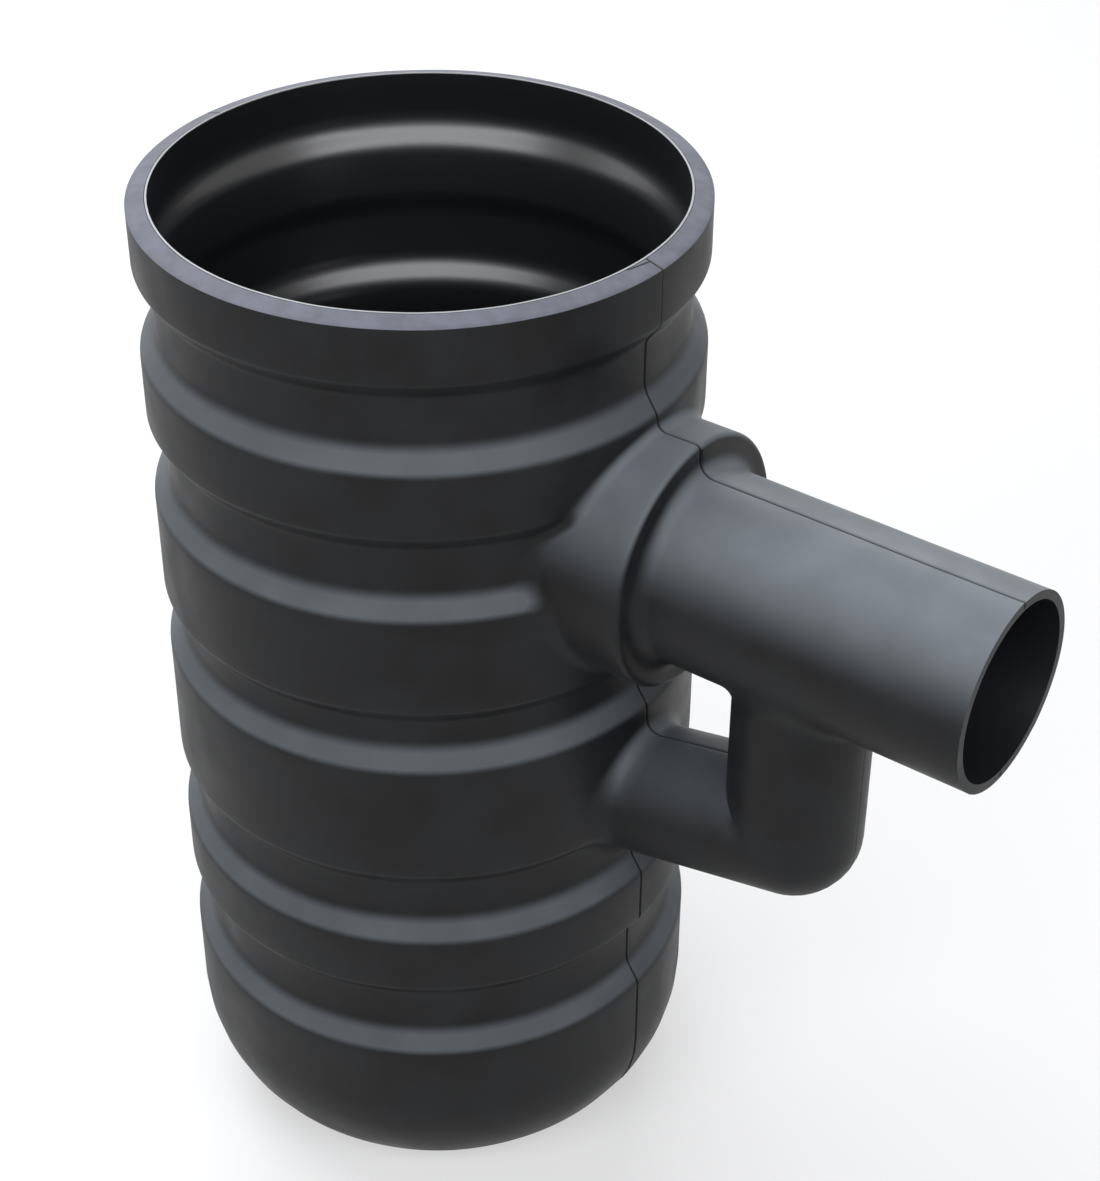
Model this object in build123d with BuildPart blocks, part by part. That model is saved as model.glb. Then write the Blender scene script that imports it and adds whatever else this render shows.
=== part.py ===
from build123d import *
import os
from math import atan2, radians, tan

os.makedirs("parts", exist_ok=True)

# Yard gully: a ribbed pot with an open mouth, an outlet pipe on a boss, and a trap that loops under the pipe.
# It is blown from one tube of polyethylene, so every region is part of one continuous wall.
# Millimetres. The origin is the centre of the base, +Z is up and the outlet points along +X.
# The mould parts on the plane y = 0. A drop is a distance below the outer edge of the mouth.

# Pot
pot_radius = 156.0  # outside of the collar, the bands and the base
base_height = 140.5  # floor to the top edge of the base
base_corner_radius = 86.0  # round between the side and the flat that the pot stands on
pot_wall = 6.5
collar_height = 32.0
band_drops = (81.5, 171.5, 272.5, 399.0, 488.5)  # to the top edge of each band, the last being the base
band_heights = (40.5, 62.5, 78.5, 39.0)  # of the four bands above the base
groove_depth = 9.0  # how far the grooves lie inside the bands
undercut_height = 11.0  # slope from a band's lower edge into the groove
shoulder_height = 12.0  # slope from a groove out to the band below it
band_edge_radius = 5.0
groove_edge_radius = 8.0

# Mouth, sawn across where the wall is thickest. It thins to the pot's own at the foot of the collar.
mouth_width = 12.0  # of the cut face
mouth_rise = 3.4  # inner edge of the cut face above its outer edge

# Outlet pipe and its boss. The pipe tapers a little down to a spigot, the plain end that enters a socket.
pipe_radius = 55.6  # level with the side of the pot, inside the boss
pipe_wall = 4.5
pipe_drop = 165.5  # to the pipe's axis
pipe_root_radius = 6.0
spigot_radius = 55.0
spigot_length = 68.0
spigot_gap = 9.0  # riser's far side to the spigot
boss_radius = 73.0
boss_length = 27.5  # side of the pot to the boss's face
boss_edge_radius = 3.5
boss_root_radius = 9.0

# Trap: a branch that leaves the pot low down and climbs to a riser, which opens into the pipe from below
trap_radius = 39.0
trap_wall = 4.5
window_width = 33.5  # boss's face to the near side of the riser
branch_fall = 168.5  # pipe's axis down to the branch's, at the side of the pot
branch_rise = 12.0  # degrees above level
branch_root_radius = 10.0
riser_root_radius = 6.0

cut_margin = 2.0  # how far a cavity runs out past an open end

rim_height = band_drops[-1] + base_height  # to the outer edge of the mouth
pipe_height = rim_height - pipe_drop
boss_reach = pot_radius + boss_length
riser_reach = boss_reach + window_width + trap_radius
spigot_start = riser_reach + trap_radius + spigot_gap
branch_slope = tan(radians(branch_rise))
branch_start = Vector(0, 0, pipe_height - branch_fall - pot_radius * branch_slope)
elbow = branch_start + Vector(riser_reach, 0, riser_reach * branch_slope)


def mouth_outline(skin):
    # Top of the half section, from the axis out to the side. The cavity runs out through the cut face.
    mouth_radius = pot_radius - mouth_width
    cut_edge = (mouth_radius, rim_height + mouth_rise)
    if skin == 0:
        return [(0, rim_height + mouth_rise), cut_edge, (pot_radius, rim_height)]
    over = rim_height + mouth_rise + cut_margin
    return [(0, over), (mouth_radius, over), cut_edge]


def band_outline(inset):
    # Side of the half section, moved in by inset. Each slope slides along, so that the wall keeps its thickness.
    band_r = pot_radius - inset
    groove_r = band_r - groove_depth
    undercut_shift = inset * tan(atan2(groove_depth, undercut_height) / 2)
    shoulder_shift = inset * tan(atan2(groove_depth, shoulder_height) / 2)
    lower_edges = [collar_height]
    for drop, height in zip(band_drops, band_heights):
        lower_edges.append(drop + height)
    points = []
    for lower_edge, next_band in zip(lower_edges, band_drops):
        undercut = rim_height - lower_edge + undercut_shift
        shoulder = rim_height - next_band - shoulder_shift
        points.append((band_r, undercut))
        points.append((groove_r, undercut - undercut_height))
        points.append((groove_r, shoulder + shoulder_height))
        points.append((band_r, shoulder))
    return points


def moulded_form(skin):
    # The whole moulding as one solid: its outside where skin is 0, its cavity where skin is 1.
    inset = pot_wall * skin
    band_r = pot_radius - inset
    lowest_groove = band_outline(inset)[-1][1]
    boss_face = boss_reach - inset
    pipe_inset = pipe_wall * skin
    trap_r = trap_radius - trap_wall * skin
    with BuildPart() as form:
        # Pot, its half section drawn on the side away from the outlet and turned about the axis
        with BuildSketch(Plane.XZ.rotated((0, 0, 180))) as section:
            with BuildLine():
                Polyline(*mouth_outline(skin), *band_outline(inset), (band_r, inset), (0, inset), close=True)
            make_face()
            base_corner = section.vertices().sort_by(Axis.Y)[:2].sort_by(Axis.X)[-1]
            fillet(base_corner, radius=base_corner_radius - inset)
            edges_of_bands = section.vertices().filter_by_position(
                Axis.Y, lowest_groove, rim_height - collar_height / 2
            )
            fillet(edges_of_bands.group_by(Axis.X)[-1], radius=band_edge_radius)
            edges_of_grooves = section.vertices().filter_by(lambda v: v.X == band_r - groove_depth)
            fillet(edges_of_grooves, radius=groove_edge_radius)
        revolve(axis=Axis.Z)

        # Boss, which swells out of the pot round the outlet
        with BuildSketch(Plane.YZ):
            with Locations((0, pipe_height)):
                Circle(boss_radius - inset)
        extrude(amount=boss_face)
        boss_root = form.edges(Select.LAST).filter_by(GeomType.BSPLINE)
        fillet(boss_root, radius=boss_root_radius)

        # Branch of the trap
        with BuildSketch(Plane(origin=branch_start, z_dir=elbow - branch_start)):
            Circle(trap_r)
        extrude(amount=(elbow - branch_start).length)
        branch_root = form.edges(Select.LAST).filter_by(GeomType.BSPLINE)
        fillet(branch_root, radius=branch_root_radius)

        # Outlet pipe and spigot
        with Locations(Plane(origin=(pot_radius, 0, pipe_height), z_dir=(1, 0, 0))):
            Cone(
                bottom_radius=pipe_radius - pipe_inset,
                top_radius=spigot_radius - pipe_inset,
                height=spigot_start - pot_radius,
                align=(Align.CENTER, Align.CENTER, Align.MIN),
            )
        with BuildSketch(Plane.YZ.offset(spigot_start)):
            with Locations((0, pipe_height)):
                Circle(spigot_radius - pipe_inset)
        extrude(amount=spigot_length + cut_margin * skin)
        face_edges = form.edges().filter_by(GeomType.CIRCLE).filter_by_position(Axis.X, boss_face, boss_face)
        face_edges = face_edges.sort_by(SortBy.RADIUS)
        fillet(face_edges[0], radius=pipe_root_radius)
        if skin == 0:
            fillet(face_edges[-1], radius=boss_edge_radius)

        # Elbow and riser of the trap
        with Locations(elbow):
            Sphere(trap_r)
        with BuildSketch(Plane(origin=elbow)):
            Circle(trap_r)
        extrude(amount=pipe_height - elbow.Z)
        riser_root = form.edges(Select.LAST).filter_by(GeomType.BSPLINE)
        fillet(riser_root, radius=riser_root_radius)
    return form.part


with BuildPart() as gully_body:
    add(moulded_form(0))
    add(moulded_form(1), mode=Mode.SUBTRACT)
gully_body.part.label = "gully_body"
export_step(gully_body.part, "parts/gully_body.step")
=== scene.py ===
from math import acos, atan2, cos, pi, radians, sin, tan

import bmesh
import bpy
import numpy as np
from mathutils import Matrix, Vector, noise
from mathutils.geometry import delaunay_2d_cdt


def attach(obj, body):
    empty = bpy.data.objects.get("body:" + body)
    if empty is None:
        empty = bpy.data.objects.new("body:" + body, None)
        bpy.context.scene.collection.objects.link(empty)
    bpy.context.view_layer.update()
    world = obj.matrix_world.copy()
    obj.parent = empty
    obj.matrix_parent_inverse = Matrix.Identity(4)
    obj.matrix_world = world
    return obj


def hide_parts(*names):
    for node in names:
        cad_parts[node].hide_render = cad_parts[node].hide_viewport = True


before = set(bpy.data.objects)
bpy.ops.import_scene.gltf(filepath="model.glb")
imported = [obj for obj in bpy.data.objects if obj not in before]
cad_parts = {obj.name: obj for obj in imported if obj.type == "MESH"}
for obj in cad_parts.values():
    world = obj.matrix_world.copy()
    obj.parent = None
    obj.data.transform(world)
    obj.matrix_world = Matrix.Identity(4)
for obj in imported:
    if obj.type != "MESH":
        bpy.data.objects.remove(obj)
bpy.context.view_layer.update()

print("frame loaded")

# A yard gully: a black ribbed pot, an outlet pipe on a boss, and a trap under the pipe, all one hollow blow
# moulding. +Z is up the pot, +X is along the outlet, and the two halves of the mould met on y = 0.

rimHeight = 0.629  # floor to the outer edge of the mouth, in metres
mm = 0.001  # in metres
onOutside, inCavity, onSawnFace, inGroove = range(4)  # where on the wall a vertex is
mouldedSlot, sawnSlot, freeBlownSlot, burrAndHighlightSlot = range(4)  # the body's materials


def addNode(tree, kind, settings=None, **links):
    # One node: settings go to its properties, or to its sockets by name or number, and links to its inputs.
    node = tree.nodes.new(kind)
    for name, value in (settings or {}).items():
        if isinstance(name, int) or name in node.inputs:
            node.inputs[name].default_value = value
        else:
            setattr(node, name, value)
    for name, output in links.items():
        socket = int(name[1:]) if name[0] == "_" else name.replace("_", " ")
        tree.links.new(output, node.inputs[socket])
    return node


def fromHex(colour):
    # sRGB hex to the linear values that Blender works in
    channels = [int(colour[i:i + 2], 16) / 255 for i in (1, 3, 5)]
    linear = [c / 12.92 if c <= 0.04045 else ((c + 0.055) / 1.055) ** 2.4 for c in channels]
    return (*linear, 1.0)


def newMaterial(name):
    material = bpy.data.materials.new(name)
    material.use_nodes = True
    material.node_tree.nodes.clear()
    return material, material.node_tree


# The moulding's own sizes, in millimetres and degrees. Every place on it is worked out from them, as on the
# mould. A drop is a distance below the outer edge of the mouth.
pot = {
    "radius": 156.0,  # outside of the collar, the bands and the base
    "wall": 6.5,
    "collar": 32.0,
    "bandDrops": (84.5, 174.5, 275.5, 402.0, 491.5),  # top edge of each band, the last being the base
    "bandHeights": (37.5, 59.5, 75.5, 36.0),
    "groove": 9.0,  # how far a groove lies inside the bands
    "undercut": 11.0,  # height of the slope into a groove
    "shoulder": 13.5,  # height of the slope out of it
    "rounds": (5.0, 8.0, 15.0, 9.0),  # band's lower edge, groove's top, its foot, next band's top edge
    "insideUndercut": 14.0,  # longer and softer in the cavity, which only air shaped
    "insideRounds": (19.0, 19.0, 14.0, 14.0),
    "baseCorner": 86.0,
}
mouth = {
    "width": 12.0,
    "rise": 3.4,  # inner edge of the sawn face above its outer edge
    "eased": 0.8,  # round left on both edges of the sawn face
    "easedCorner": 0.3,  # share of that round at which its extra row of points lies
    "burrWidth": 1.1,  # of the thin burr that the saw left along the inner edge
    "burrGroove": 0.5,  # width of the groove beside it, painted dark as the burr's shadow
    "burrGrooveDepth": 0.5,  # share of the eased round
    "burrShadow": 0.85,  # the most painted shadow of the burr in that groove, from 0 to 1
    "burrShadowPatch": 25.0,  # size of the patches that it lies in, and then their mean and their least
    "burrShadowMean": 0.6,
    "burrShadowLeast": 0.15,
    "sawWander": 0.3,  # how far the cut wanders below its true height
    "wanderLength": 38.0,
    "wanderDepth": 2.0,  # below the mouth's outer edge, down to which the cut counts as wandering
    "weldDepth": 0.35,  # of the hairline across the cut where the two halves met
    "weldReach": 0.3,  # from the parting plane to the furthest point of that hairline
    "weldTurn": 16.0,  # how far it runs on along the cut beside the outlet, up to the burr's groove
    "weldTurnRadius": 148.0,
    "weldTurnSlope": 0.15,
    "weldLineWidth": 1.0,
    "nicks": ((205.0, 1.4, 0.9), (158.0, 1.1, 0.6)),  # turn from the outlet, half length, depth
}
outlet = {
    "drop": 165.5,
    "radius": 55.6,  # level with the side of the pot
    "spigot": 55.0,
    "spigotStart": 304.0,  # from the pot's axis
    "end": 372.0,
    "wall": 5.6,
    "root": 9.0,
    "bossRadius": 73.0,
    "bossEnd": 183.5,
    "bossEdge": 3.5,
    "bossRoot": 6.0,
}
trap = {
    "radius": 39.0,
    "wall": 4.5,
    "reach": 256.0,  # pot's axis to the riser's
    "fall": 168.5,  # pipe's axis down to the branch's, at the side of the pot
    "rise": 12.0,
    "branchRoot": 10.0,
    "riserRoot": 9.0,
}
# How fine the mesh is. A pair under step, arc or parts is for the outside and for the cavity.
meshing = {
    "potColumns": 168,
    "bossColumns": 120,
    "trapColumns": 72,
    "seamOffsets": (0.35, 0.8, 1.5, 2.8),  # from the parting line to the columns beside it
    "seamGap": 0.3,  # share of a column's width kept between those and the even ones
    "step": (7.0, 11.0),  # from row to row on a straight run
    "arc": (9.0, 9.5),  # degrees of an arc to a row
    "rootParts": (8, 5),
    "pipeRootParts": (6, 4),
    "elbowParts": (10, 7),
    "bossSideRows": 4,
    "bossEdgeParts": 5,
    "bossFaceRows": 2,
    "pipeStep": 0.8,  # share of the usual step, on the taper that holds the riser's hole
    "riserTop": 60.0,  # roughly where the riser starts, below the pipe's axis
    "branchRun": 90.0,  # roughly how long the branch is between its ends
    "sawnRows": 4,
    "baseHole": 6.0,  # radius of the last ring on the base
    "holeMargin": 2,  # quads round a hole that give way to triangles
    "nearest": 1.3,  # a grid point this near to a junction gives way to it
    "bossSearch": (100, 200),  # distances from the pot's axis between which a root is looked for
    "branchSearch": (90, 240),
    "searchTurns": 40,  # halvings of that distance
    "weld": 0.005,  # points nearer than this become one
    "sharpFrom": 38.0,  # degrees between faces
}
rimLevel = rimHeight / mm
pipeLevel = rimLevel - outlet["drop"]
slope = tan(radians(trap["rise"]))
branchDirection = np.array([cos(radians(trap["rise"])), 0, sin(radians(trap["rise"]))])
branchStart = np.array([0, 0, pipeLevel - trap["fall"] - pot["radius"] * slope])
elbow = branchStart + trap["reach"] * np.array([1, 0, slope])


def skinSizes(skin):
    # Sizes that change from the outside to the cavity, which lies inside it by the wall
    pairs = ("step", "arc", "rootParts", "pipeRootParts", "elbowParts")
    sizes = {name: meshing[name][skin] for name in pairs}
    sizes["inset"] = pot["wall"] * skin
    sizes["undercut"] = (pot["undercut"], pot["insideUndercut"])[skin]
    sizes["rounds"] = (pot["rounds"], pot["insideRounds"])[skin]
    sizes["bossRadius"] = outlet["bossRadius"] - sizes["inset"]
    sizes["bossFace"] = outlet["bossEnd"] - sizes["inset"]
    sizes["bossEdge"] = outlet["bossEdge"] * (1 - skin)
    sizes["pipeInset"] = outlet["wall"] * skin
    sizes["trapRadius"] = trap["radius"] - trap["wall"] * skin
    sizes["mouthRadius"] = pot["radius"] - mouth["width"] * skin
    sizes["mouthTop"] = rimLevel + mouth["rise"] * skin - mouth["eased"]
    return sizes


def columnAngles(count, radius):
    # Even angles once round, with close columns on both sides of y = 0, where the parting line runs
    offsets = np.array(meshing["seamOffsets"]) / radius
    offsets = np.concatenate([-offsets[::-1], [0], offsets])
    even = np.arange(count) * 2 * pi / count
    spacing = 2 * pi / count
    clear = np.abs((even + pi / 2) % pi - pi / 2) > offsets[-1] + meshing["seamGap"] * spacing
    return np.sort(np.concatenate([even[clear], offsets % (2 * pi), offsets + pi]))


def roundedPath(points, radii, step, arc):
    # The corners of a half section become arcs, and its straight runs are divided.
    path = [np.array(points[0], float)]
    for i in range(1, len(points)):
        corner = np.array(points[i], float)
        if i < len(points) - 1 and radii[i] > 0:
            before = np.array(points[i - 1], float) - corner
            after = np.array(points[i + 1], float) - corner
            before /= np.linalg.norm(before)
            after /= np.linalg.norm(after)
            half = acos(np.clip(before @ after, -1, 1)) / 2
            middle = before + after
            centre = corner + middle / np.linalg.norm(middle) * radii[i] / sin(half)
            start = corner + before * radii[i] / tan(half) - centre
            end = corner + after * radii[i] / tan(half) - centre
            turn = pi - 2 * half
            parts = max(2, round(np.degrees(turn) / arc))
            bend = [(sin(turn * (1 - t)) * start + sin(turn * t) * end) / sin(turn) + centre
                    for t in np.linspace(0, 1, parts + 1)]
        else:
            bend = [corner]
        run = np.linalg.norm(bend[0] - path[-1])
        parts = max(1, round(run / step))
        path += [path[-1] + (bend[0] - path[-1]) * (k + 1) / parts for k in range(parts - 1)]
        path += bend
    return np.array(path)


def halfSection(sizes):
    # Points (radius, height) from the mouth down to the middle of the base
    inset = sizes["inset"]
    undercut = sizes["undercut"]
    band = pot["radius"] - inset
    grooved = band - pot["groove"]
    up = inset * tan(atan2(pot["groove"], pot["undercut"]) / 2) + (undercut - pot["undercut"]) / 2
    down = inset * tan(atan2(pot["groove"], pot["shoulder"]) / 2)
    points, radii = [(sizes["mouthRadius"], sizes["mouthTop"])], [0]
    lowerEdges = [pot["collar"]] + [d + h for d, h in zip(pot["bandDrops"], pot["bandHeights"])]
    for lowerEdge, nextBand in zip(lowerEdges, pot["bandDrops"]):
        points.append((band, rimLevel - lowerEdge + up))
        points.append((grooved, rimLevel - lowerEdge + up - undercut))
        points.append((grooved, rimLevel - nextBand - down + pot["shoulder"]))
        points.append((band, rimLevel - nextBand - down))
        radii += sizes["rounds"]
    points += [(band, inset), (meshing["baseHole"], inset)]
    radii += [pot["baseCorner"] - inset, 0]
    return roundedPath(points, radii, sizes["step"], sizes["arc"])


class Surface:
    # Vertices and faces of one skin, gathered patch by patch. Patches share their border points exactly.
    def __init__(self):
        self.points = []
        self.faces = []
        self.count = 0

    def add(self, points, faces):
        self.points.append(np.asarray(points, float).reshape(-1, 3))
        self.faces += [[v + self.count for v in face] for face in faces]
        self.count += len(self.points[-1])

    def addGrid(self, grid, skip=()):
        # Rows that each close on themselves
        rows, columns = grid.shape[:2]
        faces = [(i * columns + j, i * columns + (j + 1) % columns,
                  (i + 1) * columns + (j + 1) % columns, (i + 1) * columns + j)
                 for i in range(rows - 1) for j in range(columns) if (i, j) not in skip]
        self.add(grid, faces)


def distanceToSection(section, r, z):
    # Shortest distance from points (r, z) to the outline of the half section
    a, b = section[:-1], section[1:]
    ab = b - a
    p = np.stack([np.ravel(r), np.ravel(z)], -1)[:, None]
    t = np.clip(((p - a) * ab).sum(-1) / (ab * ab).sum(-1), 0, 1)
    return np.sqrt((((a + t[..., None] * ab) - p) ** 2).sum(-1).min(1)).reshape(np.shape(r))


def blendTo(section, wanted, place, low, high):
    # Slides each point along its own line, place(t), until it is the wanted distance outside the pot.
    low, high = np.full(wanted.shape, float(low)), np.full(wanted.shape, float(high))
    heights, radiiThere = section[::-1, 1], section[::-1, 0]
    for _ in range(meshing["searchTurns"]):
        t = (low + high) / 2
        x, y, z = place(t)
        r = np.hypot(x, y)
        away = distanceToSection(section, r, z)
        away = np.where(r < np.interp(z, heights, radiiThere), -away, away)
        low, high = np.where(away < wanted, t, low), np.where(away < wanted, high, t)
    return np.stack(place((low + high) / 2), -1)


def rootRings(radius, root, parts):
    # A root fillet's rings, from the pot out to the tube: the radius of each and its distance from the pot
    turn = np.linspace(pi / 2, 0, parts + 1)
    return radius + root * (1 - np.cos(turn)), root * (1 - np.sin(turn))


def potRoot(section, rings, columns, place, search):
    # The root fillet of a tube that leaves the pot. place(t, across) is a point t along the tube and across
    # away from its axis.
    radii, gaps = rings
    across = radii[:, None] + 0 * columns
    wanted = gaps[:, None] + 0 * columns
    return blendTo(section, wanted, lambda t: place(t, across), *search)


def insideLoop(place, loop):
    after = np.roll(loop, -1, 0)
    rise = after[:, 1] - loop[:, 1]
    spans = (loop[:, 1] > place[1]) != (after[:, 1] > place[1])
    reach = loop[:, 0] + (after[:, 0] - loop[:, 0]) * (place[1] - loop[:, 1]) / np.where(spans, rise, 1)
    return (spans & (place[0] < reach)).sum() % 2 == 1


def distanceToLoop(place, loop):
    along = np.roll(loop, -1, 0) - loop
    t = np.clip(((place - loop) * along).sum(1) / (along ** 2).sum(1), 0, 1)
    return np.sqrt(((loop + t[:, None] * along - place) ** 2).sum(1)).min()


def fillAroundHole(surface, grid, u, v, hole, window):
    # Triangles between a hole's loop and the whole quads that stay clear of it
    loop, flatLoop = hole
    left, right, top, bottom = window
    points, flat, number = [], [], {}
    for i in range(top, bottom + 1):
        for j in range(left, right + 1):
            place = np.array([u[j], v[i]])
            onBorder = i in (top, bottom) or j in (left, right)
            taken = insideLoop(place, flatLoop) or distanceToLoop(place, flatLoop) < meshing["nearest"]
            if onBorder or not taken:
                number[i, j] = len(points)
                points.append(grid[i, j])
                flat.append(place)
    border = [(top, j) for j in range(left, right)] + [(i, right) for i in range(top, bottom)]
    border += [(bottom, j) for j in range(right, left, -1)] + [(i, left) for i in range(bottom, top, -1)]
    edges = [(number[a], number[b]) for a, b in zip(border, border[1:] + border[:1])]
    first = len(points)
    count = len(loop)
    edges += [(first + k, first + (k + 1) % count) for k in range(count)]
    points += list(loop)
    flat += list(flatLoop)
    made = delaunay_2d_cdt([Vector(p) for p in flat], edges, [], 0, 1e-6)  # 0 fills the whole outline
    faces = [[made[3][k][0] for k in face] for face in made[2]]
    surface.add(points, [f for f in faces if not insideLoop(sum(flat[k] for k in f) / 3, flatLoop)])


def addWithHoles(surface, grid, u, v, holes):
    # Lays a grid with holes in it. A hole is a loop of points and that loop on the grid's flat map, u by v.
    columns = grid.shape[1]
    margin = meshing["holeMargin"]
    windows = []
    for loop, flatLoop in holes:
        (nearU, nearV), (farU, farV) = flatLoop.min(0), flatLoop.max(0)
        windows.append((np.searchsorted(u, nearU) - margin, np.searchsorted(u, farU) + margin - 1,
                        np.searchsorted(v, nearV) - margin, np.searchsorted(v, farV) + margin - 1))
    taken = {(i, j % columns) for left, right, top, bottom in windows
             for i in range(top, bottom) for j in range(left, right)}
    surface.addGrid(grid, skip=taken)
    for hole, window in zip(holes, windows):
        fillAroundHole(surface, grid, u, v, hole, window)


def ring(angles, radius, x):
    # One circle about the pipe's axis: y and z from the angle, which starts at the top
    return np.stack([np.broadcast_to(x, angles.shape), radius * np.sin(angles),
                     pipeLevel + radius * np.cos(angles)], -1)


def quarterRound(start, sweep, radius, parts):
    # Offsets (along, out) from the middle of a quarter round, without its first point
    turn = (start + sweep * np.linspace(0, 1, parts + 1))[1:]
    return zip(radius * np.cos(turn), radius * np.sin(turn))


def pipeRadius(x, inset):
    full = pot["radius"]
    share = np.clip((x - full) / (outlet["spigotStart"] - full), 0, 1)
    return outlet["radius"] + (outlet["spigot"] - outlet["radius"]) * share - inset


def makeBoss(surface, section, sizes, columns):
    # Root fillet on the pot, side, edge, face and root of the pipe. Gives back the boss's loop on the pot.
    radius, face, edge = sizes["bossRadius"], sizes["bossFace"], sizes["bossEdge"]

    def place(t, across):
        return t, across * np.sin(columns), pipeLevel + across * np.cos(columns)

    rings = rootRings(radius, outlet["bossRoot"], sizes["rootParts"])
    rootGrid = potRoot(section, rings, columns, place, meshing["bossSearch"])
    rows = list(rootGrid)
    sideStart = rootGrid[-1][:, 0]
    for k in range(1, meshing["bossSideRows"] + 1):
        x = sideStart + (face - edge - sideStart) * k / meshing["bossSideRows"]
        rows.append(ring(columns, radius, x))
    if edge:
        for along, out in quarterRound(pi / 2, -pi / 2, edge, meshing["bossEdgeParts"]):
            rows.append(ring(columns, radius - edge + out, face - edge + along))
    pipeStart = face + outlet["root"]
    foot = pipeRadius(pipeStart, sizes["pipeInset"]) + outlet["root"]
    faceFrom = radius - edge
    for k in range(1, meshing["bossFaceRows"] + 1):
        rows.append(ring(columns, faceFrom + (foot - faceFrom) * k / meshing["bossFaceRows"], face))
    for along, out in quarterRound(pi, pi / 2, outlet["root"], sizes["pipeRootParts"]):
        rows.append(ring(columns, foot + out, pipeStart + along))
    surface.addGrid(np.array(rows))
    return rootGrid[0]


def makePipe(surface, sizes, columns, riserRoot):
    # The pipe, with the riser's hole at the middle of its underside. Gives back its cut end.
    inset = sizes["pipeInset"]
    pipeStart, taperEnd, end = sizes["bossFace"] + outlet["root"], outlet["spigotStart"], outlet["end"]
    taperRows = round((taperEnd - pipeStart) / (sizes["step"] * meshing["pipeStep"]))
    spigotRows = round((end - taperEnd) / sizes["step"])
    places = np.concatenate([np.linspace(pipeStart, taperEnd, taperRows + 1)[:-1],
                             np.linspace(taperEnd, end, spigotRows + 1)])
    grid = np.array([ring(columns, pipeRadius(x, inset), x) for x in places])
    around = np.arctan2(riserRoot[:, 1], riserRoot[:, 2] - pipeLevel) % (2 * pi) * outlet["spigot"]
    hole = (riserRoot, np.stack([around, riserRoot[:, 0]], -1))
    addWithHoles(surface, grid, columns * outlet["spigot"], places, [hole])
    return grid[-1]


def riserRootRows(sizes, columns):
    # The root fillet between the pipe's underside and the riser
    rows = []
    for radius, gap in zip(*rootRings(sizes["trapRadius"], trap["riserRoot"], sizes["rootParts"])):
        x = trap["reach"] + radius * np.cos(columns)
        y = radius * np.sin(columns)
        outer = pipeRadius(x, sizes["pipeInset"]) + gap
        rows.append(np.stack([x, y, pipeLevel - np.sqrt(outer ** 2 - y ** 2)], -1))
    return rows


def makeTrap(surface, section, sizes, columns, rows):
    # Riser, elbow and branch share their columns. Outside the bend the elbow is a ball, inside it a mitre.
    # Gives back the loop where the branch leaves the pot.
    radius = sizes["trapRadius"]
    outward = np.stack([np.cos(columns), np.sin(columns), 0 * columns], -1)
    upright = np.array([-branchDirection[2], 0, branchDirection[0]])
    branchTurn = pi - columns
    aside = np.cos(branchTurn)[:, None] * upright + np.sin(branchTurn)[:, None] * np.array([0, 1, 0])
    inner = np.maximum(0, -np.cos(columns))[:, None] * radius * tan(radians(90 - trap["rise"]) / 2)
    riserFoot = elbow + radius * outward + inner * np.array([0, 0, 1])
    branchTop = elbow + radius * aside - inner * branchDirection
    riserParts = round((pipeLevel - elbow[2] - meshing["riserTop"]) / sizes["step"])
    riserTop = rows[-1]
    rows = rows + [riserTop + (riserFoot - riserTop) * k / riserParts for k in range(1, riserParts + 1)]
    bend = np.arccos(np.clip((outward * aside).sum(1), -1, 1))[:, None]
    outside = (np.cos(columns) > 1e-9)[:, None]  # the limit is 0, but for rounding
    span = np.where(outside, np.sin(bend), 1)
    for k in range(1, sizes["elbowParts"]):
        t = k / sizes["elbowParts"]
        ball = (np.sin(bend * (1 - t)) * outward + np.sin(bend * t) * aside) / span
        rows.append(np.where(outside, elbow + radius * ball, riserFoot))

    def place(t, across):
        up = across * np.cos(branchTurn)
        return (t * branchDirection[0] + up * upright[0], across * np.sin(branchTurn),
                branchStart[2] + t * branchDirection[2] + up * upright[2])

    rings = rootRings(radius, trap["branchRoot"], sizes["rootParts"])
    rootGrid = potRoot(section, rings, columns, place, meshing["branchSearch"])[::-1]
    branchParts = round(meshing["branchRun"] / sizes["step"])
    rows += [branchTop + (rootGrid[0] - branchTop) * k / branchParts for k in range(branchParts + 1)]
    rows += list(rootGrid[1:])
    surface.addGrid(np.array(rows))
    return rootGrid[-1]


def makePot(surface, section, loops):
    # The pot, with a hole where each root fillet starts, and its base. Gives back the ring at the mouth.
    lengths = np.concatenate([[0], np.cumsum(np.linalg.norm(np.diff(section, axis=0), axis=1))])
    columns = np.sort((columnAngles(meshing["potColumns"], pot["radius"]) + pi) % (2 * pi)) - pi
    grid = np.stack([section[:, :1] * np.cos(columns), section[:, :1] * np.sin(columns),
                     section[:, 1:] + 0 * columns], -1)
    holes = []
    for loop in loops:
        holes.append((loop, np.stack([np.arctan2(loop[:, 1], loop[:, 0]) * pot["radius"],
                                      np.interp(-loop[:, 2], -section[:, 1], lengths)], -1)))
    addWithHoles(surface, grid, columns * pot["radius"], lengths, holes)
    lowest = grid[-1]
    middle = [[0, 0, lowest[0, 2]]]
    count = len(lowest)
    surface.add(np.concatenate([lowest, middle]), [(k, (k + 1) % count, count) for k in range(count)])
    return grid[0]


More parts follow.
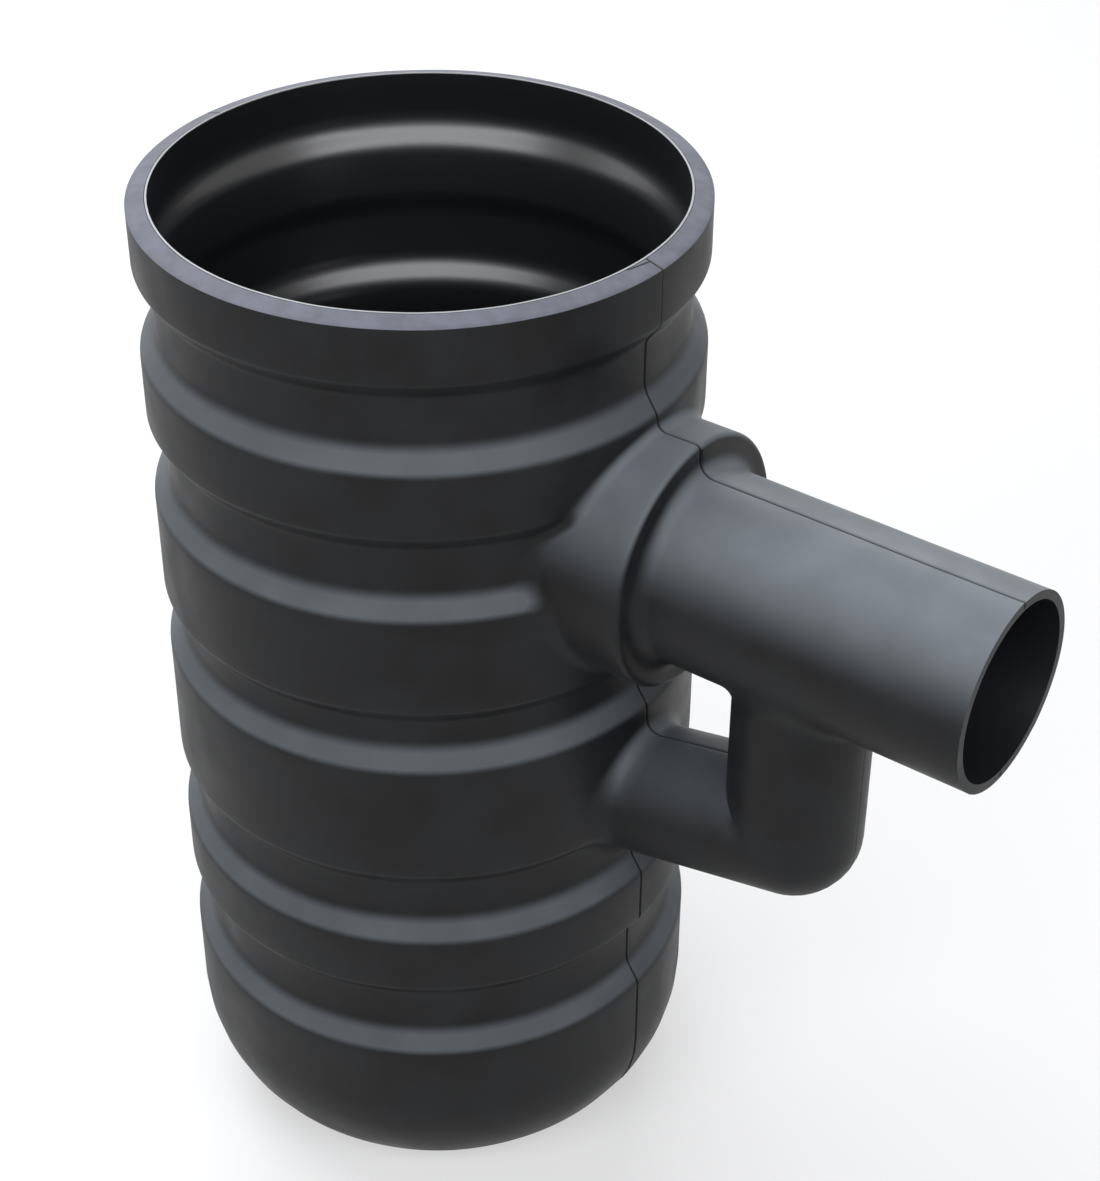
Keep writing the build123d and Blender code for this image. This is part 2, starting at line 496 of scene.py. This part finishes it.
def makeSkin(skin):
    # One skin of the moulding, its rim and its pipe's end
    surface = Surface()
    sizes = skinSizes(skin)
    section = halfSection(sizes)
    bossColumns = columnAngles(meshing["bossColumns"], outlet["spigot"])
    trapColumns = columnAngles(meshing["trapColumns"], trap["radius"])
    riserRows = riserRootRows(sizes, trapColumns)
    bossLoop = makeBoss(surface, section, sizes, bossColumns)
    pipeEnd = makePipe(surface, sizes, bossColumns, riserRows[0])
    branchLoop = makeTrap(surface, section, sizes, trapColumns, riserRows)
    rim = makePot(surface, section, (bossLoop, branchLoop))
    return surface, rim, pipeEnd


blown = {
    "seed": 7,  # without one, the clock would choose where the waves fall
    "wave": 0.22,  # how far the blown skin wanders from the mould, and over what length
    "waveLength": 70.0,
    "seamDepth": 0.8,  # of the groove at the parting line
    "seamWidth": 0.7,  # half of the dark line's width on the pot
    "wideSeamWidth": 1.2,  # the same on the boss, the pipe and the sawn face
    "wideFrom": 1.0,  # distance outside the pot where it begins
    "faintSeam": 0.1,
    "collarSeam": 0.08,  # mean strength of the line on the collar, and then its swing, least and most
    "collarSwing": 0.6,
    "collarLeast": 0.04,
    "collarMost": 0.3,
    "breakLength": 9.0,  # of the pieces into which the line is worn on the collar
    "seamShift": (0.35, 0.0, -0.45),  # how far one half of the mould sits from the other
    "shiftWidth": 0.8,  # over which the step between the halves is made
    "shiftLeast": 0.1,  # share of the step left on the collar and outside the riser
    "collarFade": 8.0,  # over which it grows below the collar
    "riserFade": 40.0,  # and across the riser's axis
    "pipeSide": 0.8,  # share of the pipe's radius below its axis, under which the riser's seam takes over
    "fade": 25.0,  # over which the moves die out towards the sawn ends and the base
}
seamLevel = pipeLevel - outlet["radius"] * blown["pipeSide"]


def between(low, value, high):
    return min(max(value, low), high)


def seamStrength(place):
    # The parting line is plain to see, but broken on the collar, where the saw and handling wore it, and
    # faint outside the riser.
    if place.x > trap["reach"] and place.z < seamLevel:
        return blown["faintSeam"]
    if place.z > rimLevel - pot["collar"]:
        worn = blown["collarSeam"] + blown["collarSwing"] * noise.noise(place / blown["breakLength"])
        return between(blown["collarLeast"], worn, blown["collarMost"])
    return 1.0


def halvesApart(place):
    # Share of the step that is left: the halves met well on the collar and round the outside of the riser.
    if place.z > seamLevel:
        share = (rimLevel - pot["collar"] - place.z) / blown["collarFade"]
    else:
        share = (trap["reach"] + blown["riserFade"] / 2 - place.x) / blown["riserFade"]
    return between(blown["shiftLeast"], share, 1)


def seamAt(place, region):
    # How much of the parting line's darkening and groove lies here, from 0 to 1, running on across the
    # cuts. In the groove beside the burr it is the burr's painted shadow instead.
    if region == inGroove:
        burrShade = mouth["burrShadowMean"] + noise.noise(place / mouth["burrShadowPatch"])
        return mouth["burrShadow"] * between(mouth["burrShadowLeast"], burrShade, 1)
    if region == inCavity:
        return 0
    onCut = region == onSawnFace
    wide = onCut or place.x > pot["radius"] + blown["wideFrom"]
    width = blown["wideSeamWidth"] if wide else blown["seamWidth"]
    return (1 if onCut else seamStrength(place)) * max(0, 1 - abs(place.y) / width)


def shapeSurface(form, regionLayer):
    # What sets a real moulding apart from its drawing: an uneven skin and the line where the mould parted.
    # The sawn ends stay flat and the base stays level, so the moves die out along each one's own direction.
    noise.seed_set(blown["seed"])
    form.normal_update()
    seamLayer = form.verts.layers.float.new("seam")
    shift = Vector(blown["seamShift"]) * mm
    mouthRadius = pot["radius"] - mouth["width"]
    moves = []
    for vertex in form.verts:
        place = vertex.co / mm
        region = vertex[regionLayer]
        move = noise.noise_vector(place / blown["waveLength"]) * blown["wave"] * mm
        vertex[seamLayer] = seamAt(place, region)
        if region == onOutside:
            move -= vertex.normal * blown["wave"] * mm
            move += shift * between(0, place.y / blown["shiftWidth"], 1) * halvesApart(place)
            move -= vertex.normal * blown["seamDepth"] * vertex[seamLayer] * mm
        move.x *= min((outlet["end"] - place.x) / blown["fade"], 1)
        move.z *= max(0, min(place.z / blown["fade"], (rimLevel - place.z) / blown["fade"], 1))
        if region in (onSawnFace, inGroove) and place.z > rimLevel - mouth["wanderDepth"]:
            move.z -= abs(noise.noise(place / mouth["wanderLength"])) * mouth["sawWander"] * mm
            if abs(place.y) < mouth["weldReach"]:
                move.z -= mouth["weldDepth"] * mm
            for turn, halfLength, depth in mouth["nicks"]:
                away = (place.xy - Vector((cos(radians(turn)), sin(radians(turn)))) * mouthRadius).length
                move.z -= depth * max(0, 1 - away / halfLength) * mm
        moves.append(move)
    for vertex, move in zip(form.verts, moves):
        vertex.co += move


def plainCut(outer, inner):
    # Rings across the pipe's end, their regions, and the material of each strip between them
    rows = [outer + (inner - outer) * k / 2 for k in range(3)]
    return rows, [onOutside, onSawnFace, inCavity], [mouldedSlot] * 2


def easedCut(outer, inner):
    # The same across the mouth, with both edges eased and a burr beside its groove along the inner one
    eased, corner, faceRows = mouth["eased"], mouth["easedCorner"], meshing["sawnRows"]
    up = np.array([0, 0, eased])
    across = (inner - outer) / np.linalg.norm(inner - outer, axis=1)[:, None]
    outerTop, innerTop = outer + up, inner + up
    burrStart = innerTop - across * mouth["burrWidth"]
    groove = across * mouth["burrGroove"]
    start, end = outerTop + across * eased, burrStart - groove
    rows = [outer, outerTop - up * corner + across * corner * eased]
    rows += [start + (end - start) * k / faceRows for k in range(faceRows + 1)]
    rows += [end + groove / 2 - up * mouth["burrGrooveDepth"], burrStart]
    rows += [innerTop - across * corner, innerTop - up * corner, inner]
    regions = [onOutside] + [onSawnFace] * (faceRows + 2) + [inGroove] + [onSawnFace] * 3 + [inCavity]
    return rows, regions, [mouldedSlot] + [sawnSlot] * (faceRows + 3) + [burrAndHighlightSlot] * 3


def makeBody():
    outside, rimOuter, endOuter = makeSkin(onOutside)
    inside, rimInner, endInner = makeSkin(inCavity)
    cuts = Surface()
    cutRegions = []
    cutSlots = []
    for rows, regions, slots in (easedCut(rimOuter, rimInner), plainCut(endOuter, endInner)):
        cuts.addGrid(np.array(rows))
        cutRegions += [region for region in regions for _ in rows[0]]
        cutSlots += [slot for slot in slots for _ in rows[0]]
    form = bmesh.new()
    regionLayer = form.verts.layers.int.new("region")
    for surface, regions, slots in (
            (outside, [onOutside] * outside.count, [mouldedSlot] * len(outside.faces)),
            (inside, [inCavity] * inside.count, [freeBlownSlot] * len(inside.faces)),
            (cuts, cutRegions, cutSlots)):
        made = []
        for point, region in zip(np.concatenate(surface.points) * mm, regions):
            vertex = form.verts.new(point)
            vertex[regionLayer] = region
            made.append(vertex)
        for face, slot in zip(surface.faces, slots):
            form.faces.new([made[k] for k in face]).material_index = slot
    bmesh.ops.delete(form, geom=[v for v in form.verts if not v.link_faces], context="VERTS")
    bmesh.ops.remove_doubles(form, verts=form.verts, dist=meshing["weld"] * mm)
    bmesh.ops.recalc_face_normals(form, faces=form.faces)
    shapeSurface(form, regionLayer)
    mesh = bpy.data.meshes.new("gullyBody")
    form.to_mesh(mesh)
    form.free()
    mesh.polygons.foreach_set("use_smooth", [True] * len(mesh.polygons))
    mesh.set_sharp_from_angle(angle=radians(meshing["sharpFrom"]))
    body = bpy.data.objects.new("gullyBody", mesh)
    bpy.context.scene.collection.objects.link(body)
    return body


# Looks of the plastic. Sizes and depths are in millimetres, and a blend is the two noise values between
# which one look turns into the other.
moulded = {
    "colour": "#141415",  # carbon black in the granulate
    "paler": "#1d1e1f",
    "patchSize": 40.0,
    "patchDetail": 6.0,
    "patchBlend": (0.35, 0.65),
    "roughness": 0.40,
    "patchRoughness": 0.52,
    "specular": 0.16,
    "rippleSize": 11.0,
    "rippleDepth": 0.04,
    "grainSize": 0.9,  # a blasted mould's grain is about 0.2, too fine to show, so it is drawn coarser
    "grainDepth": 0.012,
    # A pale film on what faces up: partly fine dust, partly a painted sheen for the light from above.
    "dustAndSheenColour": "#90989f",
    "dustAndSheenShare": 0.51,
    "dustAndSheenFacing": (0.1, 0.9),  # how far a face looks up where dust and painted sheen begin, and are full
    "dustAndSheenPatch": 30.0,
    "dustAndSheenDetail": 6.0,
    "dustAndSheenBlend": (0.3, 0.7),
    "dustAndSheenThinnest": 0.8,
    "paintedShadeShare": 0.4,  # of the dust and sheen left on the trap under the pipe, a painted shade
    "paintedShadeStart": (-8.0, 15.0),  # from the pot's side, over which that painted shade begins
    "paintedShadeTop": 10.0,  # over which it begins below the pipe
    "darkLineColour": "#030303",
    "seamRoughness": 1.0,
}
freeBlown = {
    "colour": "#18191b",
    "roughness": 0.30,
    "specular": 0.74,
    "rippleSize": 18.0,
    "rippleDepth": 0.05,
}
sawn = {
    "colour": "#595b64",
    "paler": "#656771",
    "patchSize": 12.0,
    "patchDetail": 5.0,
    "patchBlend": (0.35, 0.65),
    "roughness": 0.62,
    "specular": 0.22,
    "tearSize": 1.4,  # about the spacing of a fine saw's teeth
    "tearDepth": 0.06,
    "grainSize": 0.35,  # of the fibres between the tears, which show only from nearer
    "grainDepth": 0.03,
    "darkLineColour": "#101012",
}
# The burr's pale colour is partly its own and partly a painted highlight on the eased inner edge.
burr = {
    "colour": "#96999a",
    "roughness": 0.5,
}


def perMetre(size):
    # Scale of a noise texture whose patches are this many millimetres across
    return 1000 / size


def cloudy(tree, place, size, detail, blend, least=0.0):
    # Soft patches, size millimetres across, as a value from least to 1
    clouds = addNode(tree, "ShaderNodeTexNoise", {"Scale": perMetre(size), "Detail": detail}, Vector=place)
    spread = addNode(tree, "ShaderNodeMapRange", {
        "From Min": blend[0], "From Max": blend[1], "To Min": least}, Value=clouds.outputs["Fac"])
    return spread.outputs[0]


def mottled(tree, place, look):
    # The plastic's two colours in soft patches: where they lie, and the colour there
    spread = cloudy(tree, place, look["patchSize"], look["patchDetail"], look["patchBlend"])
    mixed = addNode(tree, "ShaderNodeMix", {
        "data_type": "RGBA", 6: fromHex(look["colour"]), 7: fromHex(look["paler"])}, Factor=spread)
    return spread, mixed.outputs[2]


def addBump(tree, place, size, depth, before=None, detail=2.0):
    # Relief of one size: patches size millimetres across and depth millimetres deep
    relief = addNode(tree, "ShaderNodeTexNoise", {"Scale": perMetre(size), "Detail": detail}, Vector=place)
    links = {"Height": relief.outputs["Fac"]}
    if before:
        links["Normal"] = before
    bump = addNode(tree, "ShaderNodeBump", {"Strength": 1.0, "Distance": depth * mm}, **links)
    return bump.outputs["Normal"]


def dustAndPaintedSheen(tree, place):
    # Fine dust and a painted sheen for the light from above lie on what looks up, a little patchy.
    # Both are thinner on the trap under the pipe, a painted shade of the pipe.
    facing = addNode(tree, "ShaderNodeNewGeometry").outputs["Normal"]
    upward = addNode(tree, "ShaderNodeSeparateXYZ", Vector=facing).outputs["Z"]
    dustAndSheenUp = addNode(tree, "ShaderNodeMapRange", {
        "interpolation_type": "SMOOTHSTEP", "From Min": moulded["dustAndSheenFacing"][0],
        "From Max": moulded["dustAndSheenFacing"][1], "To Max": moulded["dustAndSheenShare"]}, Value=upward)
    cover = cloudy(tree, place, moulded["dustAndSheenPatch"], moulded["dustAndSheenDetail"], moulded["dustAndSheenBlend"],
                   moulded["dustAndSheenThinnest"])
    axes = addNode(tree, "ShaderNodeSeparateXYZ", Vector=place)
    start, end = moulded["paintedShadeStart"]
    beside = addNode(tree, "ShaderNodeMapRange", {
        "From Min": (pot["radius"] + start) * mm, "From Max": (pot["radius"] + end) * mm,
        "To Max": 1 - moulded["paintedShadeShare"]}, Value=axes.outputs["X"])
    pipeFoot = pipeLevel - outlet["radius"]
    shadedUnderPipe = addNode(tree, "ShaderNodeMapRange", {
        "From Min": (pipeFoot - moulded["paintedShadeTop"]) * mm, "From Max": pipeFoot * mm, "To Max": 0.0},
        Value=axes.outputs["Z"], To_Min=beside.outputs[0])
    unshaded = addNode(tree, "ShaderNodeMath", {"operation": "SUBTRACT", 0: 1.0}, _1=shadedUnderPipe.outputs[0])
    unshadedCover = addNode(tree, "ShaderNodeMath", {"operation": "MULTIPLY"}, _0=unshaded.outputs[0], _1=cover)
    dustAndSheen = addNode(tree, "ShaderNodeMath", {"operation": "MULTIPLY"},
                   _0=dustAndSheenUp.outputs[0], _1=unshadedCover.outputs[0])
    return dustAndSheen.outputs[0]


def mouldedPolyethylene():
    # High density polyethylene, blown against a blasted steel mould. It gives the eye a dark satin skin, a
    # little uneven, with a pale film on whatever faces up, partly fine dust and partly painted sheen for
    # the light from above, and a darker parting line.
    material, tree = newMaterial("mouldedPolyethylene")
    place = addNode(tree, "ShaderNodeTexCoord").outputs["Object"]
    spread, skin = mottled(tree, place, moulded)
    dustAndSheenSkin = addNode(tree, "ShaderNodeMix", {"data_type": "RGBA", 7: fromHex(moulded["dustAndSheenColour"])},
                    Factor=dustAndPaintedSheen(tree, place), _6=skin)
    seam = addNode(tree, "ShaderNodeAttribute", {"attribute_name": "seam"}).outputs["Fac"]
    # Darker along the parting line.
    dirty = addNode(tree, "ShaderNodeMix", {"data_type": "RGBA", 7: fromHex(moulded["darkLineColour"])},
                    Factor=seam, _6=dustAndSheenSkin.outputs[2])
    gloss = addNode(tree, "ShaderNodeMapRange", {
        "To Min": moulded["roughness"], "To Max": moulded["patchRoughness"]}, Value=spread)
    matt = addNode(tree, "ShaderNodeMix", {3: moulded["seamRoughness"]}, Factor=seam, _2=gloss.outputs[0])
    ripple = addBump(tree, place, moulded["rippleSize"], moulded["rippleDepth"])
    grain = addBump(tree, place, moulded["grainSize"], moulded["grainDepth"], ripple)
    shader = addNode(tree, "ShaderNodeBsdfPrincipled", {"Specular IOR Level": moulded["specular"]},
                     Base_Color=dirty.outputs[2], Roughness=matt.outputs[0], Normal=grain)
    addNode(tree, "ShaderNodeOutputMaterial", Surface=shader.outputs[0])
    return material


def freeBlownPolyethylene():
    # The inside of the wall, which only air touched. It gives the eye a smoother and glossier black.
    material, tree = newMaterial("freeBlownPolyethylene")
    place = addNode(tree, "ShaderNodeTexCoord").outputs["Object"]
    ripple = addBump(tree, place, freeBlown["rippleSize"], freeBlown["rippleDepth"])
    shader = addNode(tree, "ShaderNodeBsdfPrincipled", {
        "Base Color": fromHex(freeBlown["colour"]), "Roughness": freeBlown["roughness"],
        "Specular IOR Level": freeBlown["specular"]}, Normal=ripple)
    addNode(tree, "ShaderNodeOutputMaterial", Surface=shader.outputs[0])
    return material


def weldLine(tree, place):
    # Beside the outlet the weld's hairline turns and runs on along the cut. 1 on the line, 0 away from it.
    flat = addNode(tree, "ShaderNodeVectorMath", {"operation": "MULTIPLY", 1: (1, 1, 0)}, _0=place)
    fromAxis = addNode(tree, "ShaderNodeVectorMath", {"operation": "LENGTH"}, _0=flat.outputs[0])
    axes = addNode(tree, "ShaderNodeSeparateXYZ", Vector=place)
    slanted = addNode(tree, "ShaderNodeMath", {"operation": "MULTIPLY_ADD", 1: -mouth["weldTurnSlope"]},
                      _0=axes.outputs["Y"], _2=fromAxis.outputs["Value"])
    onLine = addNode(tree, "ShaderNodeMath", {
        "operation": "COMPARE", 1: mouth["weldTurnRadius"] * mm, 2: mouth["weldLineWidth"] / 2 * mm},
        _0=slanted.outputs[0])
    half = mouth["weldTurn"] / 2 * mm
    along = addNode(tree, "ShaderNodeMath", {"operation": "COMPARE", 1: -half, 2: half},
                    _0=axes.outputs["Y"])
    byOutlet = addNode(tree, "ShaderNodeMath", {"operation": "GREATER_THAN", 1: 0.0}, _0=axes.outputs["X"])
    there = addNode(tree, "ShaderNodeMath", {"operation": "MULTIPLY"},
                    _0=along.outputs[0], _1=byOutlet.outputs[0])
    line = addNode(tree, "ShaderNodeMath", {"operation": "MULTIPLY"},
                   _0=there.outputs[0], _1=onLine.outputs[0])
    return line.outputs[0]


def sawnPolyethylene():
    # The same plastic where a saw has cut it. It gives the eye a dull lavender grey face, finely torn.
    material, tree = newMaterial("sawnPolyethylene")
    place = addNode(tree, "ShaderNodeTexCoord").outputs["Object"]
    face = mottled(tree, place, sawn)[1]
    # Darker along the parting line, the weld's hairline and the groove beside the burr, which is painted
    # shadow.
    seam = addNode(tree, "ShaderNodeAttribute", {"attribute_name": "seam"}).outputs["Fac"]
    lines = addNode(tree, "ShaderNodeMath", {"operation": "MAXIMUM"}, _0=seam, _1=weldLine(tree, place))
    marked = addNode(tree, "ShaderNodeMix", {"data_type": "RGBA", 7: fromHex(sawn["darkLineColour"])},
                     Factor=lines.outputs[0], _6=face)
    tears = addBump(tree, place, sawn["tearSize"], sawn["tearDepth"])
    grain = addBump(tree, place, sawn["grainSize"], sawn["grainDepth"], tears)
    shader = addNode(tree, "ShaderNodeBsdfPrincipled", {
        "Roughness": sawn["roughness"], "Specular IOR Level": sawn["specular"]},
        Base_Color=marked.outputs[2], Normal=grain)
    addNode(tree, "ShaderNodeOutputMaterial", Surface=shader.outputs[0])
    return material


def burrWithPaintedHighlight():
    # The thin burr along the inner edge of the cut. It gives the eye a pale, stretched line: partly the
    # burr's own colour and partly a painted highlight on the eased inner edge.
    material, tree = newMaterial("burrWithPaintedHighlight")
    shader = addNode(tree, "ShaderNodeBsdfPrincipled", {
        "Base Color": fromHex(burr["colour"]), "Roughness": burr["roughness"]})
    addNode(tree, "ShaderNodeOutputMaterial", Surface=shader.outputs[0])
    return material


body = makeBody()
for makeMaterial in (mouldedPolyethylene, sawnPolyethylene, freeBlownPolyethylene, burrWithPaintedHighlight):
    body.data.materials.append(makeMaterial())  # in the order of the slots
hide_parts("gully_body")
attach(body, "root")
print("body done:", len(body.data.vertices), "vertices")

# The photograph's own camera, stated from the centre of the mouth. The outlet points right and towards it.
shot = {
    "outletTurn": 50.0,  # degrees from the line of sight round to the outlet
    "standoff": 1.1599,  # along the ground
    "rise": 0.5567,  # above the mouth
    "yaw": 3.446,
    "pitch": 35.266,
    "roll": 0.320,
    "focalPixels": 2386.8,
    "imageHeight": 1181,  # the picture's longer side, which the sensor spans
    "sensor": 36.0,
    "clip": (0.01, 100.0),
}


def makeCamera():
    data = bpy.data.cameras.new("photoCamera")
    camera = bpy.data.objects.new("photoCamera", data)
    bpy.context.scene.collection.objects.link(camera)
    data.sensor_width = shot["sensor"]
    data.lens = shot["focalPixels"] / shot["imageHeight"] * data.sensor_width
    data.clip_start, data.clip_end = shot["clip"]
    toMouth = Matrix.Rotation(radians(90 - shot["outletTurn"]), 4, "Z")
    place = Matrix.Translation((0, -shot["standoff"], rimHeight + shot["rise"]))
    yaw = Matrix.Rotation(-radians(shot["yaw"]), 4, "Z")
    pitch = Matrix.Rotation(radians(90 - shot["pitch"]), 4, "X")
    roll = Matrix.Rotation(radians(shot["roll"]), 4, "Z")
    camera.matrix_world = toMouth @ place @ (yaw @ pitch) @ roll
    bpy.context.scene.camera = camera


makeCamera()
bpy.context.scene.view_settings.view_transform = "Standard"
print("camera done")

# Soft panels stand round the object and face it. A turn is measured from the camera's side, anticlockwise
# seen from above, and a brightness of 1 is that of a white surface.
studio = {
    "floorSize": 60.0,
    "floorColour": "#b6b6b6",
    "glowColour": "#ffffff",
    "nearGlow": 0.43,  # lifts the pale floor to white, with the object's shadow kept on it
    "farGlow": 0.9,  # the same, out where the panels hardly reach
    "glowFrom": 1.3,  # distances from the object between which one becomes the other
    "glowTo": 5.0,
    "worldColour": "#ffffff",
    "worldStrength": 0.12,  # on the object
    "worldSeen": 1.0,  # white behind it
    "panelColour": "#fbfcff",
    "panelDistance": 2.6,
    "panels": {
        "frontPanel": {"turn": -2.0, "rise": 41.0, "width": 5.2, "height": 1.2, "brightness": 4.6},
        "leftPanel": {"turn": -106.0, "rise": 22.0, "width": 1.8, "height": 0.9, "brightness": 1.4},
        "highPanel": {"turn": -120.0, "rise": 62.0, "width": 1.6, "height": 1.4, "brightness": 5.2},
        "backPanel": {"turn": 180.0, "rise": 38.0, "width": 2.4, "height": 1.2, "brightness": 5.2},
    },
}


def seenByEye(tree):
    # 1 for a ray from the camera or one that a mirror or glass passes on, 0 for one that carries light
    path = addNode(tree, "ShaderNodeLightPath")
    mirrored = addNode(tree, "ShaderNodeMath", {"operation": "MAXIMUM"},
                       _0=path.outputs["Is Glossy Ray"], _1=path.outputs["Is Transmission Ray"])
    seen = addNode(tree, "ShaderNodeMath", {"operation": "MAXIMUM"},
                   _0=path.outputs["Is Camera Ray"], _1=mirrored.outputs[0])
    return seen.outputs[0]


def makeFloor():
    # A floor painted pale and matt. It gives the eye an even white ground that keeps the soft shadow.
    half = studio["floorSize"] / 2
    mesh = bpy.data.meshes.new("studioFloor")
    corners = [(-half, -half, 0), (half, -half, 0), (half, half, 0), (-half, half, 0)]
    mesh.from_pydata(corners, [], [(0, 1, 2, 3)])
    floor = bpy.data.objects.new("studioFloor", mesh)
    bpy.context.scene.collection.objects.link(floor)
    material, tree = newMaterial("paintedFloor")
    diffuse = addNode(tree, "ShaderNodeBsdfDiffuse", {"Color": fromHex(studio["floorColour"])})
    place = addNode(tree, "ShaderNodeTexCoord").outputs["Object"]
    away = addNode(tree, "ShaderNodeVectorMath", {"operation": "LENGTH"}, _0=place)
    strength = addNode(tree, "ShaderNodeMapRange", {
        "interpolation_type": "SMOOTHSTEP", "From Min": studio["glowFrom"], "From Max": studio["glowTo"],
        "To Min": studio["nearGlow"], "To Max": studio["farGlow"]}, Value=away.outputs["Value"])
    glow = addNode(tree, "ShaderNodeEmission", {"Color": fromHex(studio["glowColour"])},
                   Strength=strength.outputs[0])
    both = addNode(tree, "ShaderNodeAddShader", _0=diffuse.outputs[0], _1=glow.outputs[0])
    seen = addNode(tree, "ShaderNodeMixShader", Fac=seenByEye(tree),
                   _1=diffuse.outputs[0], _2=both.outputs[0])
    addNode(tree, "ShaderNodeOutputMaterial", Surface=seen.outputs[0])
    mesh.materials.append(material)


def makeWorld():
    world = bpy.data.worlds.new("studioWorld")
    bpy.context.scene.world = world
    world.use_nodes = True
    tree = world.node_tree
    tree.nodes.clear()
    strength = addNode(tree, "ShaderNodeMapRange", {
        "To Min": studio["worldStrength"], "To Max": studio["worldSeen"]}, Value=seenByEye(tree))
    light = addNode(tree, "ShaderNodeBackground", {"Color": fromHex(studio["worldColour"])},
                    Strength=strength.outputs[0])
    addNode(tree, "ShaderNodeOutputWorld", Surface=light.outputs[0])


def makePanel(name, turn, rise, width, height, brightness):
    data = bpy.data.lights.new(name, "AREA")
    data.shape = "RECTANGLE"
    data.size = width
    data.size_y = height
    data.energy = brightness * pi * width * height
    data.color = fromHex(studio["panelColour"])[:3]
    panel = bpy.data.objects.new(name, data)
    around, above = radians(turn - shot["outletTurn"]), radians(rise)
    outward = Vector((cos(around) * cos(above), sin(around) * cos(above), sin(above)))
    panel.location = Vector((0, 0, rimHeight / 2)) + outward * studio["panelDistance"]
    panel.rotation_mode = "QUATERNION"
    panel.rotation_quaternion = outward.to_track_quat("Z", "Y")
    bpy.context.scene.collection.objects.link(panel)


makeFloor()
makeWorld()
for panelName, panelSizes in studio["panels"].items():
    makePanel(panelName, **panelSizes)
print("studio done")
